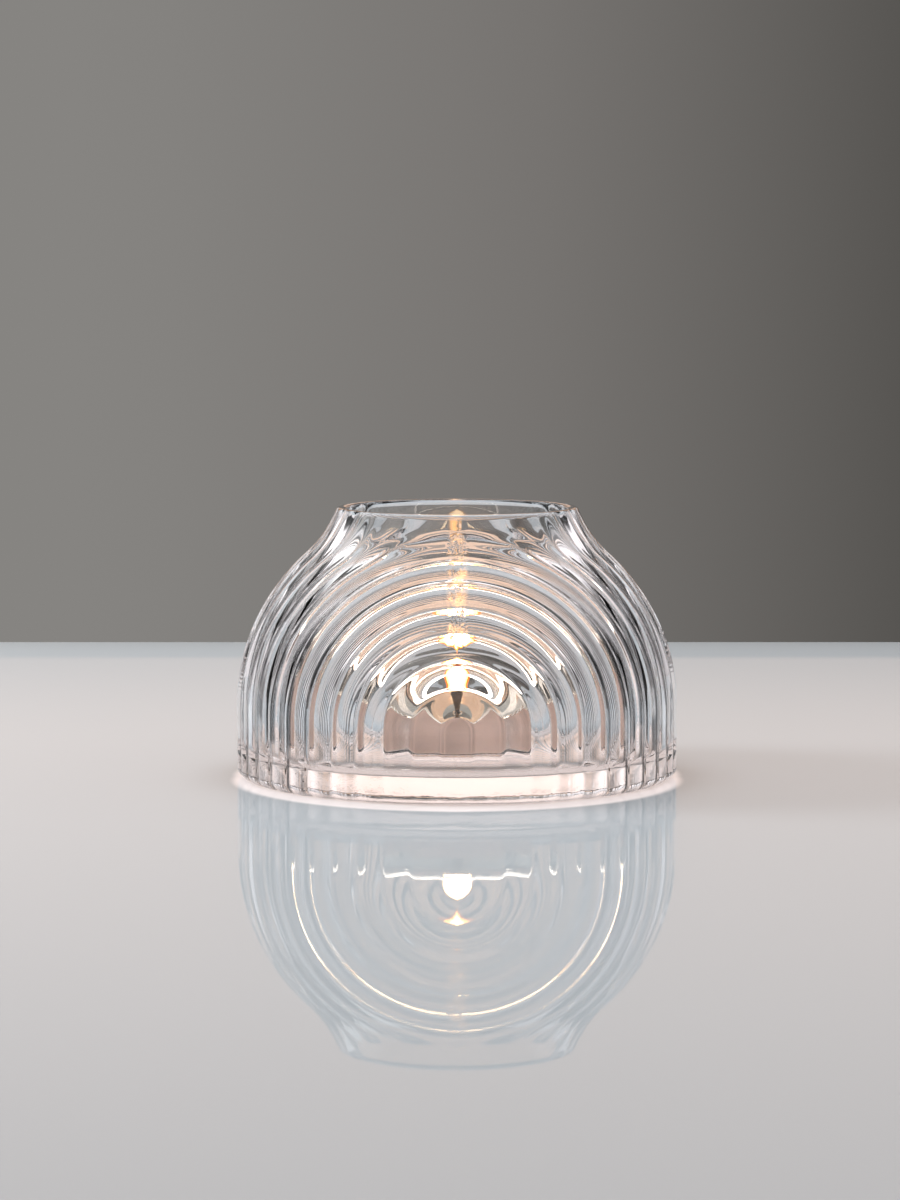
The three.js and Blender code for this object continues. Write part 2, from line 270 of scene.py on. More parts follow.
def fire_polished_glass(colours, reeds):
    """Soda-lime glass, blown in a mould and fire-polished: clear and glossy, with a faint sway, a rippled
    foot, and at the front and back a crinkled mould seam with a painted amber glint, an emission in place of
    the flame's light. The reeds have relief too fine for the mesh, and the valleys at both sides have painted
    shade: broken dark lines in the colour, in place of the dark room seen through them."""
    sway_size, crinkle_size = 14 * MM, 3 * MM
    material, tree, place = new_material("fire_polished_glass")
    along = add(tree, "ShaderNodeSeparateXYZ", {"Vector": place})
    values = {
        "x": along.outputs["X"],
        "height": along.outputs["Z"],
        "turn": add(tree, "ShaderNodeAttribute", attribute_name="reed_turn").outputs["Fac"],
        "sway": add(tree, "ShaderNodeTexNoise", {
            "Vector": place, "Scale": 1 / sway_size, "Detail": 2.0}),
        "crinkle": add(tree, "ShaderNodeTexNoise", {
            "Vector": place, "Scale": 1 / crinkle_size, "Detail": 2.0})}
    work_out(tree, values, (
        # The mould seam and its painted glint: an amber emission in place of the flame's light caught in the
        # seam
        ("aside", "ABSOLUTE", "x", 0.0),
        ("seam_side", "EASED", "aside", (3 * MM, 0.6 * MM)),
        ("seam_bottom", "EASED", "height", (36 * MM, 42 * MM)),
        ("seam_top", "EASED", "height", (64 * MM, 58 * MM)),
        ("seam", "MULTIPLY", "seam_side", "seam_bottom"),
        ("seam", "MULTIPLY", "seam", "seam_top"),
        ("seam_relief", "MULTIPLY", "seam", 0.5 * MM),
        ("painted_glints", "EASED", "crinkle", (0.5, 0.62)),
        ("painted_glints", "MULTIPLY", "seam", "painted_glints"),
        ("painted_glint_strength", "MULTIPLY", "painted_glints", 0.6),
        # The ripples of the foot
        ("foot", "EASED", "height", (7 * MM, 3 * MM)),
        ("foot_relief", "MULTIPLY", "foot", 0.16 * MM),
        ("fine", "ADD", "seam_relief", "foot_relief"),
        ("fine", "MULTIPLY", "fine", "crinkle"),
        # A wave across the reeds, from 1 on a crest to -1 in a valley
        ("reed_angle", "MULTIPLY", "turn", float(reeds)),
        ("wave", "COSINE", "reed_angle", 0.0),
        ("out", "SINE", "turn", 0.0),
        ("out", "ABSOLUTE", "out", 0.0),
        # Rounder crests beside the middle of the arches
        ("crests_from", "EASED", "out", off_middle(20, 45)),
        ("crests_to", "EASED", "out", off_middle(45, 60)),
        ("crests", "SUBTRACT", "crests_from", "crests_to"),
        ("crests", "MULTIPLY", "wave", "crests"),
        ("crests", "MULTIPLY", "crests", 0.14 * MM),
        # Grooves in the valleys of the flanks
        ("valley", "MULTIPLY", "wave", -1.0),
        ("groove_width", "EASED", "valley", (0.6, 1.0)),
        ("grooves_from", "EASED", "out", off_middle(35, 47)),
        ("grooves", "MULTIPLY", "groove_width", "grooves_from"),
        ("grooves", "MULTIPLY", "grooves", 0.6 * MM),
        ("reeding", "SUBTRACT", "crests", "grooves"),
        ("reeding_top", "EASED", "height", (60 * MM, 52 * MM)),
        ("reeding", "MULTIPLY", "reeding", "reeding_top"),
        ("relief", "ADD", "fine", "reeding"),
        ("sway_relief", "MULTIPLY", "sway", 0.06 * MM),
        ("relief", "ADD", "relief", "sway_relief"),
        # Painted shade: dark lines along the bottom of the valleys at both sides, broken by the sway, in
        # place of the dark room seen through the glass
        ("painted_valley_shade", "EASED", "wave", (-0.86, -0.99)),
        ("painted_shade_from", "EASED", "out", off_middle(40, 48)),
        ("painted_valley_shade", "MULTIPLY", "painted_valley_shade", "painted_shade_from"),
        ("painted_shade_breaks", "EASED", "sway", (0.34, 0.48)),
        ("painted_valley_shade", "MULTIPLY", "painted_valley_shade", "painted_shade_breaks"),
        ("painted_shade_side", "EASED", "aside", (27 * MM, 36 * MM)),
        ("painted_valley_shade", "MULTIPLY", "painted_valley_shade", "painted_shade_side")))
    # Painted shade: the colour goes from clear to dark along the valleys
    clear, dark = srgb(colours.glass), srgb(colours.glass_painted_shade)
    colour = add(tree, "ShaderNodeMix", {
        0: values["painted_valley_shade"], COLOUR_A: clear, COLOUR_B: dark}, data_type="RGBA")
    bump = add(tree, "ShaderNodeBump", {"Height": values["relief"], "Strength": 1.0, "Distance": 1.0})
    # The emission is the seam's painted glint, in place of the flame's light
    shader = add(tree, "ShaderNodeBsdfPrincipled", {
        "Base Color": colour, "Roughness": 0.0, "IOR": 1.51, "Transmission Weight": 1.0,
        "Emission Color": srgb("#ffb258"), "Emission Strength": values["painted_glint_strength"], "Normal": bump})
    add(tree, "ShaderNodeOutputMaterial", {"Surface": shader})
    return material


def moulded_clear_plastic(lip_top, lip_height):
    """Clear polycarbonate, injection-moulded. Its lip is painted as glowing: an emission in place of the
    flame's light that the plastic pipes up to it.
    """
    painted_lip_glow = 4.0
    material, tree, place = new_material("moulded_clear_plastic")
    height = add(tree, "ShaderNodeSeparateXYZ", {"Vector": place}).outputs["Z"]
    # Painted light: the lip glows by emission, as if lit by the flame through the plastic
    painted_glow = add(tree, "ShaderNodeMapRange", {
        "Value": height, "From Min": lip_top - lip_height, "From Max": lip_top,
        "To Min": 0.0, "To Max": painted_lip_glow}, interpolation_type="SMOOTHSTEP")
    shader = add(tree, "ShaderNodeBsdfPrincipled", {
        "Base Color": srgb("#f7f4f0"), "Roughness": 0.02, "IOR": 1.5, "Transmission Weight": 1.0,
        "Emission Color": srgb("#fff1e2"), "Emission Strength": painted_glow})
    add(tree, "ShaderNodeOutputMaterial", {"Surface": shader})
    return material


def paraffin_wax(colours, top):
    """Solid paraffin: translucent, mottled, and streaked down its side where it set against the cup. The
    flame's light sinking into it from its top is painted: a warm emission that grows towards the top and
    follows the streaks."""
    mottle_size, streak_size, streak_stretch = 3 * MM, 2.5 * MM, 0.1
    painted_light_depth, grain_depth = 9 * MM, 0.1 * MM
    material, tree, place = new_material("paraffin_wax")
    height = add(tree, "ShaderNodeSeparateXYZ", {"Vector": place}).outputs["Z"]
    mottle = add(tree, "ShaderNodeTexNoise", {"Vector": place, "Scale": 1 / mottle_size, "Detail": 3.0})
    down = add(tree, "ShaderNodeMapping", {"Vector": place, "Scale": (1.0, 1.0, streak_stretch)})
    streaks = add(tree, "ShaderNodeTexNoise", {"Vector": down, "Scale": 1 / streak_size, "Detail": 2.0})
    # Painted light: the wax glows more towards its top, where the flame's light sinks in
    lit = add(tree, "ShaderNodeMapRange", {
        "Value": height, "From Min": top - painted_light_depth, "From Max": top, "To Min": 0.3, "To Max": 0.4})
    streaked = add(tree, "ShaderNodeMapRange", {
        "Value": streaks, "From Min": 0.35, "From Max": 0.65, "To Min": 0.8, "To Max": 1.3})
    values = work_out(tree, {"mottle": mottle, "streaks": streaks, "lit": lit, "streaked": streaked}, (
        ("mottle", "MULTIPLY", "mottle", 0.4),
        ("streaks", "MULTIPLY", "streaks", 0.6),
        ("bloom", "ADD", "mottle", "streaks"),
        ("painted_glow", "MULTIPLY", "lit", "streaked")))
    colour = add(tree, "ShaderNodeValToRGB", {"Fac": values["bloom"]})
    fill_ramp(colour, [(0.35, colours.wax), (0.65, colours.wax_bloom)])
    grain = add(tree, "ShaderNodeBump", {"Height": mottle, "Strength": 0.4, "Distance": grain_depth})
    shader = add(tree, "ShaderNodeBsdfPrincipled", {
        "Base Color": colour, "Roughness": 0.32, "IOR": 1.44,
        "Subsurface Weight": 0.6, "Subsurface Radius": (10 * MM, 6 * MM, 4 * MM),
        "Emission Color": srgb("#ffd6c8"), "Emission Strength": values["painted_glow"], "Normal": grain})
    add(tree, "ShaderNodeOutputMaterial", {"Surface": shader})
    return material


def molten_wax(colours):
    """Molten paraffin: a clear, faintly yellow liquid with a glassy surface that trembles in the heat."""
    wave_size, wave_depth = 8 * MM, 0.05 * MM
    material, tree, place = new_material("molten_wax")
    waves = add(tree, "ShaderNodeTexNoise", {"Vector": place, "Scale": 1 / wave_size, "Detail": 1.0})
    tremble = add(tree, "ShaderNodeBump", {"Height": waves, "Strength": 0.5, "Distance": wave_depth})
    shader = add(tree, "ShaderNodeBsdfPrincipled", {
        "Base Color": srgb(colours.melt), "Roughness": 0.0, "IOR": 1.44, "Transmission Weight": 1.0,
        "Normal": tremble})
    add(tree, "ShaderNodeOutputMaterial", {"Surface": shader})
    return material


def pressed_tin_plate(colours):
    """Tin-plated steel pressed from sheet: bright, with a faint rolled grain across the disc. The real grain
    is too fine to show, so it is drawn coarser."""
    grain_length, grain_squeeze = 2 * MM, 12.0
    material, tree, place = new_material("pressed_tin_plate")
    along = add(tree, "ShaderNodeMapping", {"Vector": place, "Scale": (1.0, grain_squeeze, 1.0)})
    grain = add(tree, "ShaderNodeTexNoise", {"Vector": along, "Scale": 1 / grain_length, "Detail": 4.0})
    roughness = add(tree, "ShaderNodeMapRange", {"Value": grain, "To Min": 0.22, "To Max": 0.42})
    shader = add(tree, "ShaderNodeBsdfPrincipled", {
        "Base Color": srgb(colours.tin), "Metallic": 1.0, "Roughness": roughness})
    add(tree, "ShaderNodeOutputMaterial", {"Surface": shader})
    return material


def braided_cotton(colours, melt_top, tip):
    """Braided cotton soaked in wax: tan below the melt, charred above it, with an ember at the tip. The real
    strands are too fine to show, so they are drawn coarser."""
    strand_size, strand_depth, ember_length = 2.2 * MM, 0.15 * MM, 3.4 * MM
    material, tree, place = new_material("braided_cotton")
    height = add(tree, "ShaderNodeSeparateXYZ", {"Vector": place}).outputs["Z"]
    up = add(tree, "ShaderNodeMapRange", {"Value": height, "From Min": melt_top, "From Max": tip})
    colour = add(tree, "ShaderNodeValToRGB", {"Fac": up})
    fill_ramp(colour, [(0.0, colours.cotton), (0.25, colours.char), (1.0, colours.char)])
    ember = add(tree, "ShaderNodeMapRange", {
        "Value": height, "From Min": tip - ember_length, "From Max": tip, "To Min": 0.0, "To Max": 5.0})
    strands = add(tree, "ShaderNodeTexWave", {"Vector": place, "Scale": 1 / strand_size, "Distortion": 2.0},
                  bands_direction="DIAGONAL")
    braid = add(tree, "ShaderNodeBump", {
        "Height": strands.outputs["Fac"], "Strength": 0.8, "Distance": strand_depth})
    shader = add(tree, "ShaderNodeBsdfPrincipled", {
        "Base Color": colour, "Roughness": 0.85, "Emission Color": srgb("#ff7a2a"),
        "Emission Strength": ember, "Normal": braid})
    add(tree, "ShaderNodeOutputMaterial", {"Surface": shader})
    return material


def burning_gas(name, stops, low, high, seen, lights, cover):
    """A part of the flame: gas that glows, with its colours from the wick up. It shines at one strength
    through glass and in gloss, and lights the things around it at a gentler one."""
    material, tree, place = new_material(name)
    height = add(tree, "ShaderNodeSeparateXYZ", {"Vector": place}).outputs["Z"]
    up = add(tree, "ShaderNodeMapRange", {"Value": height, "From Min": low, "From Max": high})
    colour = add(tree, "ShaderNodeValToRGB", {"Fac": up})
    fill_ramp(colour, stops)
    depth = add(tree, "ShaderNodeLightPath").outputs["Diffuse Depth"]
    strength = add(tree, "ShaderNodeMapRange", {"Value": depth, "To Min": seen, "To Max": lights})
    light = add(tree, "ShaderNodeEmission", {"Color": colour, "Strength": strength})
    clear = add(tree, "ShaderNodeBsdfTransparent")
    mix = add(tree, "ShaderNodeMixShader", {"Fac": cover, 1: clear, 2: light})
    add(tree, "ShaderNodeOutputMaterial", {"Surface": mix})
    return material


def polished_pale_floor(colours):
    """A plain pale floor with a soft polish. The candle's light that the glass gathers is painted on it as an
    emission: under the bowl, and round its foot in a band that reaches further out at the front."""
    painted_ring_inside, painted_ring_outside = (38 * MM, 46 * MM), (56.8 * MM, 53.5 * MM)
    painted_ring_forward, cloud_size = 8 * MM, 60 * MM
    material, tree, place = new_material("polished_pale_floor")
    forward = add(tree, "ShaderNodeMapping", {"Vector": place, "Location": (0, painted_ring_forward, 0)})
    values = work_out(tree, {
        "away": add(tree, "ShaderNodeVectorMath", {0: place}, operation="LENGTH"),
        "away_forward": add(tree, "ShaderNodeVectorMath", {0: forward}, operation="LENGTH")}, (
        # Painted light: emission under the bowl and in a band round the foot, in place of the light the glass
        # gathers
        ("painted_light_pool", "EASED", "away", (43 * MM, 14 * MM)),
        ("inside", "EASED", "away", painted_ring_inside),
        ("outside", "EASED", "away", painted_ring_outside),
        ("painted_light_ring", "MULTIPLY", "inside", "outside"),
        ("inside", "EASED", "away_forward", painted_ring_inside),
        ("outside", "EASED", "away_forward", painted_ring_outside),
        ("painted_forward_ring", "MULTIPLY", "inside", "outside"),
        ("painted_light_ring", "MAXIMUM", "painted_light_ring", "painted_forward_ring"),
        ("painted_pool_strength", "MULTIPLY", "painted_light_pool", 1.15),
        ("painted_ring_strength", "MULTIPLY", "painted_light_ring", 0.65),
        ("painted_glow", "ADD", "painted_pool_strength", "painted_ring_strength")))
    cloud = add(tree, "ShaderNodeTexNoise", {"Vector": place, "Scale": 1 / cloud_size, "Detail": 4.0})
    gloss = add(tree, "ShaderNodeMapRange", {"Value": cloud, "To Min": 0.005, "To Max": 0.02})
    shader = add(tree, "ShaderNodeBsdfPrincipled", {
        "Base Color": srgb(colours.floor), "Roughness": 0.5, "Specular IOR Level": 0.1,
        "Coat Weight": 0.4, "Coat Roughness": gloss, "Coat IOR": 1.5,
        "Emission Color": srgb("#ffe9e2"), "Emission Strength": values["painted_glow"]})
    add(tree, "ShaderNodeOutputMaterial", {"Surface": shader})
    return material


def new_piece(name, make, **settings):
    """Adds a primitive with a mesh operator, with nothing else selected, and names it."""
    if bpy.context.object and bpy.context.object.mode != "OBJECT":
        bpy.ops.object.mode_set(mode="OBJECT")
    bpy.ops.object.select_all(action="DESELECT")
    make(**settings)
    piece = bpy.context.object
    piece.name = name
    piece.data.name = name
    return piece


def pick(piece, test):
    """Selects the corners of a piece that pass a test of their place, and stays in edit mode."""
    bpy.ops.object.mode_set(mode="EDIT")
    bpy.ops.mesh.select_all(action="DESELECT")
    bpy.ops.object.mode_set(mode="OBJECT")
    for corner in piece.data.vertices:
        corner.select = test(corner.co)
    bpy.ops.object.mode_set(mode="EDIT")


def arc(centre_radius, centre_height, radius, start, end, steps):
    """Points of (radius, height) along an arc of a circle, both ends included; angles in degrees."""
    points = []
    for i in range(steps + 1):
        angle = math.radians(start + (end - start) * i / steps)
        points.append((centre_radius + radius * math.cos(angle), centre_height + radius * math.sin(angle)))
    return points


def turned(name, outline, sides):
    """A piece turned about the Z axis: its outline is drawn by extruding a corner from point to point."""
    piece = new_piece(name, bpy.ops.mesh.primitive_plane_add, size=MM)
    bpy.ops.object.mode_set(mode="EDIT")
    bpy.ops.mesh.merge(type="CENTER")
    bpy.ops.transform.translate(value=(outline[0][0], 0, outline[0][1]))
    for (radius, height), (next_radius, next_height) in zip(outline, outline[1:]):
        bpy.ops.mesh.extrude_region_move(
            TRANSFORM_OT_translate={"value": (next_radius - radius, 0, next_height - height)})
    bpy.ops.mesh.select_all(action="SELECT")
    bpy.ops.mesh.spin(steps=sides, angle=FULL_TURN, center=(0, 0, 0), axis=(0, 0, 1))
    bpy.ops.mesh.select_all(action="SELECT")
    bpy.ops.mesh.remove_doubles(threshold=SAME_PLACE)
    bpy.ops.mesh.normals_make_consistent(inside=False)
    bpy.ops.object.mode_set(mode="OBJECT")
    return piece


def finish_piece(piece, material, sharp_degrees=35):
    """Smooths the piece up to its real edges and gives it its material."""
    bpy.ops.object.select_all(action="DESELECT")
    piece.select_set(True)
    bpy.context.view_layer.objects.active = piece
    bpy.ops.object.shade_smooth_by_angle(angle=math.radians(sharp_degrees))
    piece.data.materials.clear()
    piece.data.materials.append(material)


class BowlShape:
    """The bowl's outlines and the shape of its reeds, worked out from its sizes."""

    def __init__(self, sizes):
        self.sizes = sizes
        self.rim_radius = sizes.mouth_radius + sizes.rim_wall
        self.rim_edge = arc(
            self.rim_radius - sizes.rim_rounding, sizes.height - sizes.rim_rounding, sizes.rim_rounding,
            90, math.degrees(sizes.rim_edge), ROUNDING_STEPS)
        foot_radius, foot_height = self.rim_edge[-1]
        reach = sizes.neck_radius - foot_radius
        self.sweep = (foot_height - self.dome_height(foot_radius)) / reach ** sizes.neck_power

    def dome_height(self, radius):
        """Height of the dome without its neck."""
        sizes = self.sizes
        return sizes.spring_height + sizes.dome_rise * math.sqrt(max(1 - (radius / sizes.radius) ** 2, 0))

    def neck_lift(self, radius):
        """How far the neck lifts the dome, so that it sweeps up to the rim."""
        reach = self.sizes.neck_radius - max(radius, self.sizes.mouth_radius)
        return self.sweep * max(reach, 0) ** self.sizes.neck_power

    def outside_at(self, rise):
        """The outside over the crests, at an angle up from the springing."""
        radius = self.sizes.radius * math.cos(rise)
        return Vector((radius, self.dome_height(radius) + self.neck_lift(radius)))

    def reed_turn(self, place):
        """Angle round the reeding at a place on the glass: 0 in the middle of the front arches."""
        lift = self.neck_lift(math.hypot(place.x, place.y))
        up = max(place.z - lift - self.sizes.spring_height, 0) * self.sizes.radius / self.sizes.dome_rise
        return math.atan2(math.hypot(place.x, up), -place.y)

    def reed_depth(self, angle):
        """Depth of the reeds at an angle from the front: they fade towards the middle of the arches."""
        sizes = self.sizes
        share = eased(math.asin(min(1, abs(math.sin(angle)))), sizes.fade_from, sizes.fade_to)
        return sizes.middle_reed_depth + (sizes.reed_depth - sizes.middle_reed_depth) * share

    def window(self, place):
        """Share by which the glass is smooth at a place: the neck has a window at its front and its back."""
        sizes = self.sizes
        round_the_neck = math.atan2(abs(place.x), abs(place.y))
        aside = eased(round_the_neck, sizes.window_side, sizes.window_side + sizes.window_fade)
        return eased(place.z, sizes.window_from, sizes.window_to) * (1 - aside)

    def neck_place(self, place):
        """Moves a place on the reeded dome to where it is on the neck: lifted, and smooth in the window."""
        sizes = self.sizes
        squash = sizes.dome_rise / sizes.radius
        up = (place.z - sizes.spring_height) / squash
        lifted = place + Vector((0, 0, self.neck_lift(math.hypot(place.x, place.y))))
        smooth = sizes.radius / Vector((place.x, place.y, up)).length
        factor = 1 + (smooth - 1) * self.window(lifted)
        moved = Vector((place.x * factor, place.y * factor, sizes.spring_height + up * squash * factor))
        moved.z += self.neck_lift(math.hypot(moved.x, moved.y))
        return moved

    def reeded_radius(self, angle):
        """Radius of the reeded circle: convex reeds with rounded valleys and a crest at the very front."""
        sizes = self.sizes
        pitch = FULL_TURN / sizes.reeds
        # Places are shares of the pitch, from 0 on a crest
        place = abs(angle / pitch - round(angle / pitch))
        rounding = sizes.valley_rounding / (sizes.radius * pitch)
        valley = 0.5
        into_valley = max(place - (valley - rounding), 0)
        drop = place ** 2 - valley / rounding * into_valley ** 2
        return sizes.radius - self.reed_depth(angle) * drop / (valley * (valley - rounding))

    def inside_line(self):
        """The inside of the dome, parallel to the outside, with a wall that thins up to the rim."""
        sizes = self.sizes
        top = math.acos(sizes.mouth_radius / sizes.radius)
        points = []
        for i in range(INSIDE_STEPS + 1):
            rise = top * i / INSIDE_STEPS
            here = self.outside_at(rise)
            along = (self.outside_at(rise + SLOPE_STEP) - here).normalized()
            thinned = min((sizes.radius - here.x) / (sizes.radius - self.rim_radius), 1)
            wall = sizes.wall + (sizes.rim_wall - sizes.wall) * thinned
            radius, height = here.x - along.y * wall, here.y + along.x * wall
            if radius > sizes.mouth_radius and height < sizes.height - sizes.rim_rounding:
                points.append((radius, height))
        return points

    def hollow(self):
        """Outline of what is taken out: the room over the floor, the mouth and all above the rim."""
        sizes = self.sizes
        clear = sizes.radius + sizes.height
        dome = self.inside_line()
        outline = [(0, sizes.floor_thickness)]
        outline += arc(
            dome[0][0] - sizes.floor_corner, sizes.floor_thickness + sizes.floor_corner, sizes.floor_corner,
            -90, 0, ROUNDING_STEPS)
        outline += dome
        outline += arc(
            sizes.mouth_radius + sizes.rim_rounding, sizes.height - sizes.rim_rounding, sizes.rim_rounding,
            180, 90, ROUNDING_STEPS)
        outline += self.rim_edge
        outline += [(clear, self.rim_edge[-1][1]), (clear, clear), (0, clear)]
        return outline


def reeded_body(sizes, shape):
    """The outside of the bowl, solid: a reeded half ring spun over into arches and extruded to the foot."""
    piece = new_piece(
        "reeded_glass_bowl", bpy.ops.mesh.primitive_circle_add,
        vertices=sizes.reeds * STEPS_PER_REED, radius=sizes.radius, fill_type="NOTHING")
    for corner in piece.data.vertices:
        angle = math.atan2(corner.co.x, -corner.co.y)
        radius = shape.reeded_radius(angle)
        corner.co.x = radius * math.sin(angle)
        corner.co.y = -radius * math.cos(angle)
    pick(piece, lambda place: place.x < -SAME_PLACE)
    bpy.ops.mesh.delete(type="VERT")
    bpy.ops.mesh.select_all(action="SELECT")
    bpy.ops.mesh.spin(steps=ARCH_STEPS, angle=HALF_TURN, center=(0, 0, 0), axis=(0, 1, 0))
    bpy.ops.mesh.select_all(action="SELECT")
    bpy.ops.mesh.remove_doubles(threshold=SAME_PLACE)
    bpy.ops.transform.resize(value=(1, 1, sizes.dome_rise / sizes.radius), center_override=(0, 0, 0))
    bpy.ops.transform.translate(value=(0, 0, sizes.spring_height))
    bpy.ops.object.mode_set(mode="OBJECT")
    for corner in piece.data.vertices:
        corner.co = shape.neck_place(corner.co)
    foot = sizes.foot_rounding
    levels = [(0, foot + (sizes.spring_height - foot) * i / DRUM_STEPS) for i in range(DRUM_STEPS, -1, -1)]
    levels += arc(-foot, foot, foot, 0, -90, ROUNDING_STEPS)[1:]
    bpy.ops.object.mode_set(mode="EDIT")
    bpy.ops.mesh.select_all(action="DESELECT")
    bpy.ops.mesh.select_mode(type="EDGE")
    bpy.ops.mesh.select_non_manifold(extend=False)
    for (inset, height), (next_inset, next_height) in zip(levels, levels[1:]):
        bpy.ops.mesh.extrude_region_move(TRANSFORM_OT_translate={"value": (0, 0, next_height - height)})
        factor = (sizes.radius + next_inset) / (sizes.radius + inset)
        bpy.ops.transform.resize(value=(factor, factor, 1), center_override=(0, 0, 0))
    bpy.ops.mesh.extrude_region_move()
    bpy.ops.mesh.merge(type="CENTER")
    bpy.ops.mesh.select_all(action="SELECT")
    bpy.ops.mesh.normals_make_consistent(inside=False)
    bpy.ops.mesh.select_mode(type="VERT")
    bpy.ops.object.mode_set(mode="OBJECT")
    return piece


class TEALIGHT_OT_bowl(bpy.types.Operator):
    """Make the reeded glass bowl"""

    bl_idname = "tealight.bowl"
    bl_label = "Reeded Glass Bowl"

    def execute(self, context):
        sizes = context.scene.tealight_bowl
        shape = BowlShape(sizes)
        bowl = reeded_body(sizes, shape)
        hollow = turned("hollow", shape.hollow(), INSIDE_SIDES)
        bpy.ops.object.select_all(action="DESELECT")
        bowl.select_set(True)
        context.view_layer.objects.active = bowl
        cut = bowl.modifiers.new("hollow", "BOOLEAN")
        cut.operation = "DIFFERENCE"
        cut.solver = "EXACT"
        cut.object = hollow
        bpy.ops.object.modifier_apply(modifier=cut.name)
        bpy.data.objects.remove(hollow)
        turns = bowl.data.attributes.new("reed_turn", "FLOAT", "POINT")
        for corner, turn in zip(bowl.data.vertices, turns.data):
            turn.value = shape.reed_turn(corner.co)
        glass = fire_polished_glass(context.scene.tealight_colours, sizes.reeds)
        finish_piece(bowl, glass, sharp_degrees=40)
        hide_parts("glass_bowl")
        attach(bowl, "holder")
        return {"FINISHED"}


class TEALIGHT_OT_cup(bpy.types.Operator):
    """Make the clear cup of the tealight"""

    bl_idname = "tealight.cup"
    bl_label = "Clear Cup"

    def execute(self, context):
        sizes = context.scene.tealight_light
        base, top = CUP_LOW.z, CUP_HIGH.z
        lip_radius = CUP_HIGH.x
        wall, lip = sizes.cup_wall, sizes.lip_height
        lip_rounding = lip / 2
        side_top = lip_radius - lip_rounding
        inside_radius, inside_base = sizes.cup_base_radius - wall, base + sizes.cup_floor
        foot_rounding = 0.5 * MM
        foot_ring, ring_slope, ring_recess = 2.2 * MM, 0.5 * MM, 0.25 * MM
        ring_radius = sizes.cup_base_radius - foot_ring
        recess = base + ring_recess
        outline = [(0, recess), (ring_radius - ring_slope, recess), (ring_radius, base)]
        outline += arc(
            sizes.cup_base_radius - foot_rounding, base + foot_rounding, foot_rounding, -90, 0, CORNER_STEPS)
        outline += [(side_top, top - lip)]
        outline += arc(side_top, top - lip_rounding, lip_rounding, -80, 90, ROUNDING_STEPS)
        outline += arc(side_top, top - lip_rounding, lip_rounding, 110, 180, SMALL_CORNER_STEPS)
        outline += [(inside_radius, inside_base + foot_rounding)]
        outline += arc(
            inside_radius - foot_rounding, inside_base + foot_rounding, foot_rounding,
            -10, -90, SMALL_CORNER_STEPS)
        outline += [(0, inside_base)]
        cup = turned("clear_cup", outline, CUP_SIDES)
        finish_piece(cup, moulded_clear_plastic(top, lip))
        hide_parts("tealight_cup")
        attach(cup, "tealight")
        return {"FINISHED"}


class TEALIGHT_OT_wax(bpy.types.Operator):
    """Make the solid wax and the molten wax on top of it"""

    bl_idname = "tealight.wax"
    bl_label = "Wax"

    def execute(self, context):
        sizes = context.scene.tealight_light
        colours = context.scene.tealight_colours
        top = WAX_HIGH.z
        solid_top = top - sizes.melt_depth
        gap = 0.12 * MM
        inner = sizes.cup_base_radius - sizes.cup_wall - gap
        inner_top = CUP_HIGH.x - sizes.lip_height / 2 - sizes.cup_wall - gap
        low = WAX_LOW.z + gap
        wick_radius = WICK_HIGH.x + gap
        corner, shoulder = 0.5 * MM, 0.6 * MM
        # The melt stands in a shallow dish in the top of the block: places as radius and depth
        half_out, round_the_wick = inner / 2, 3 * MM
        dish = ((half_out, 0.35 * MM), (round_the_wick, 0.8 * MM), (0, 0.9 * MM))
        melt_underside = ((0, 0.85 * MM), (round_the_wick, 0.75 * MM), (half_out, 0.3 * MM))
        solid = [(0, low), (inner - corner, low)]
        solid += arc(inner - corner, low + corner, corner, -60, 0, SMALLEST_CORNER_STEPS)
        solid += arc(inner - shoulder, solid_top - shoulder, shoulder, 10, 90, CORNER_STEPS)
        solid += [(radius, solid_top - depth) for radius, depth in dish]
        block = turned("solid_wax", solid, CUP_SIDES)
        finish_piece(block, paraffin_wax(colours, solid_top))
        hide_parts("wax")
        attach(block, "tealight")
        # The melt climbs the cup and the wick, in a curve that falls off steeply
        under = solid_top + gap
        climb = sizes.meniscus
        edge_drop, cup_reach, steepness = 0.4 * MM, 3.2 * MM, 3
        climb_at_wick, climb_over_wick = climb * 0.8, climb * 0.9
        wick_climb = ((2.4 * MM, 0), (1 * MM, 0.15 * MM), (0, climb_at_wick))
        liquid = [(radius, under - depth) for radius, depth in melt_underside]
        liquid += [(inner - shoulder, under), (inner, under - edge_drop), (inner_top, top + climb)]
        for i in range(1, ROUNDING_STEPS + 1):
            away = i / ROUNDING_STEPS
            liquid.append((inner_top - cup_reach * away, top + climb * (1 - away) ** steepness))
        liquid += [(wick_radius + away, top + rise) for away, rise in wick_climb]
        liquid += [(0, top + climb_over_wick)]
        melt = turned("molten_wax", liquid, CUP_SIDES)
        finish_piece(melt, molten_wax(colours))
        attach(melt, "tealight")
        return {"FINISHED"}


